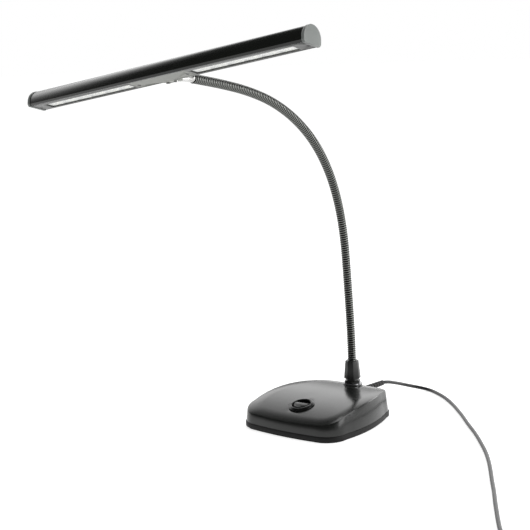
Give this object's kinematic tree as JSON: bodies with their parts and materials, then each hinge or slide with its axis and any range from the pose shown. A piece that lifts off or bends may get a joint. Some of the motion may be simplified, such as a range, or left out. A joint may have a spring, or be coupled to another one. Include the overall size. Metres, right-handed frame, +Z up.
{
  "type": "piano lamp",
  "caption": "Light bar on a ribbed flexible neck above a heavy sloped base with a round rocker switch, and a thin cord to a plug-in power supply.",
  "frame": {"origin": "middle of the foot pad's underside, on the table", "axes": "+Z up; -Y to the front, where the light bar is; +X to the right, seen from the front"},
  "size_m": [0.6513, 0.4297, 0.4394],
  "materials": {
    "housing_black": "satin black moulded plastic",
    "plate_black": "black painted steel",
    "weight_steel": "bare steel",
    "bright_steel": "bright plated steel",
    "zinc_steel": "zinc plated steel",
    "rubber_black": "matt foam rubber",
    "black_plastic": "matt black plastic",
    "white_plastic": "matt white plastic",
    "neck_metal": "dark plated steel",
    "bar_black": "satin black anodised aluminium",
    "bar_grey": "satin grey plastic",
    "tongue_grey": "satin light grey painted steel",
    "board": "green laminate",
    "brass_parts": "plain",
    "light_yellow": "yellow phosphor",
    "cord_black": "smooth black jacket"
  },
  "bodies": {
    "base": {"base_housing": "housing_black", "base_plate": "plate_black", "steel_weight": "weight_steel", "foot_pad": "rubber_black", "base_screws": "zinc_steel", "switch_rim": "black_plastic", "switch_body": "black_plastic", "switch_tabs": "brass_parts", "driver_board": "board", "driver_parts": "white_plastic", "board_pillars": "brass_parts", "base_wires": "cord_black", "strain_relief": "rubber_black", "cord_clamp": "white_plastic", "gland_washer": "zinc_steel", "gland_body": "black_plastic", "gland_lock_nut": "zinc_steel", "gland_sleeve": "white_plastic", "clamp_nut": "black_plastic", "neck_segment_01": "neck_metal", "power_cord": "cord_black", "cord_coil": "cord_black", "cord_tail": "cord_black", "cord_tie": "black_plastic", "supply_body": "black_plastic", "supply_lid": "black_plastic", "supply_pins": "bright_steel", "supply_relief": "rubber_black"},
    "neck_02": {"neck_segment_02": "neck_metal"},
    "neck_03": {"neck_segment_03": "neck_metal"},
    "neck_04": {"neck_segment_04": "neck_metal"},
    "neck_05": {"neck_segment_05": "neck_metal"},
    "neck_06": {"neck_segment_06": "neck_metal"},
    "neck_07": {"neck_segment_07": "neck_metal"},
    "neck_08": {"neck_segment_08": "neck_metal"},
    "neck_09": {"neck_segment_09": "neck_metal"},
    "neck_10": {"neck_segment_10": "neck_metal"},
    "neck_11": {"neck_segment_11": "neck_metal"},
    "neck_12": {"neck_segment_12": "neck_metal"},
    "head": {"head_bracket": "bright_steel", "swivel_clip": "zinc_steel", "head_plate": "tongue_grey", "tongue_screws": "zinc_steel", "bracket_block": "zinc_steel", "bar_housing": "bar_black", "end_cap_left": "bar_grey", "end_cap_right": "bar_grey", "window_cover_left": "bar_grey", "window_cover_right": "bar_grey", "reflector_left": "white_plastic", "reflector_right": "white_plastic", "light_board_left": "board", "light_board_right": "board", "lights_left": "light_yellow", "lights_right": "light_yellow", "underside_screws": "zinc_steel"},
    "rocker": {"switch_rocker": "black_plastic"}
  },
  "joints": [
    {"name": "neck_joint_01", "type": "hinge", "parent": "base", "child": "neck_02", "pos_m": [0, 0.0575, 0.08047], "axis": [1, 0, 0], "range_deg": [-23, 17]},
    {"name": "neck_joint_02", "type": "hinge", "parent": "neck_02", "child": "neck_03", "pos_m": [0, 0.05532, 0.12201], "axis": [0, 0.9976, 0.0698], "range_deg": [-16, 16]},
    {"name": "neck_joint_03", "type": "hinge", "parent": "neck_03", "child": "neck_04", "pos_m": [0, 0.05242, 0.16351], "axis": [1, 0, 0], "range_deg": [-20.5, 19.5]},
    {"name": "neck_joint_04", "type": "hinge", "parent": "neck_04", "child": "neck_05", "pos_m": [0, 0.04916, 0.20498], "axis": [0, 0.9781, 0.2079], "range_deg": [-16, 16]},
    {"name": "neck_joint_05", "type": "hinge", "parent": "neck_05", "child": "neck_06", "pos_m": [0, 0.04051, 0.24567], "axis": [1, 0, 0], "range_deg": [-30.5, 9.5]},
    {"name": "neck_joint_06", "type": "hinge", "parent": "neck_06", "child": "neck_07", "pos_m": [0, 0.02459, 0.2841], "axis": [0, 0.8141, 0.5807], "range_deg": [-16, 16]},
    {"name": "neck_joint_07", "type": "hinge", "parent": "neck_07", "child": "neck_08", "pos_m": [0, 0.00043, 0.31797], "axis": [1, 0, 0], "range_deg": [-34, 6]},
    {"name": "neck_joint_08", "type": "hinge", "parent": "neck_08", "child": "neck_09", "pos_m": [0, -0.0312, 0.34499], "axis": [0, 0.4848, 0.8746], "range_deg": [-16, 16]},
    {"name": "neck_joint_09", "type": "hinge", "parent": "neck_09", "child": "neck_10", "pos_m": [0, -0.06759, 0.36516], "axis": [1, 0, 0], "range_deg": [-30.5, 9.5]},
    {"name": "neck_joint_10", "type": "hinge", "parent": "neck_10", "child": "neck_11", "pos_m": [0, -0.10704, 0.37836], "axis": [0, 0.2079, 0.9781], "range_deg": [-16, 16]},
    {"name": "neck_joint_11", "type": "hinge", "parent": "neck_11", "child": "neck_12", "pos_m": [0, -0.14773, 0.387], "axis": [1, 0, 0], "range_deg": [-22.5, 17.5]},
    {"name": "head_turn", "type": "hinge", "parent": "neck_12", "child": "head", "pos_m": [0, -0.18876, 0.39387], "axis": [0, -0.9863, 0.165], "range_deg": [-50, 35]},
    {"name": "switch_rock", "type": "hinge", "parent": "base", "child": "rocker", "pos_m": [0, -0.03625, 0.02408], "axis": [1, 0, 0], "range_deg": [0, 18]}
  ]
}
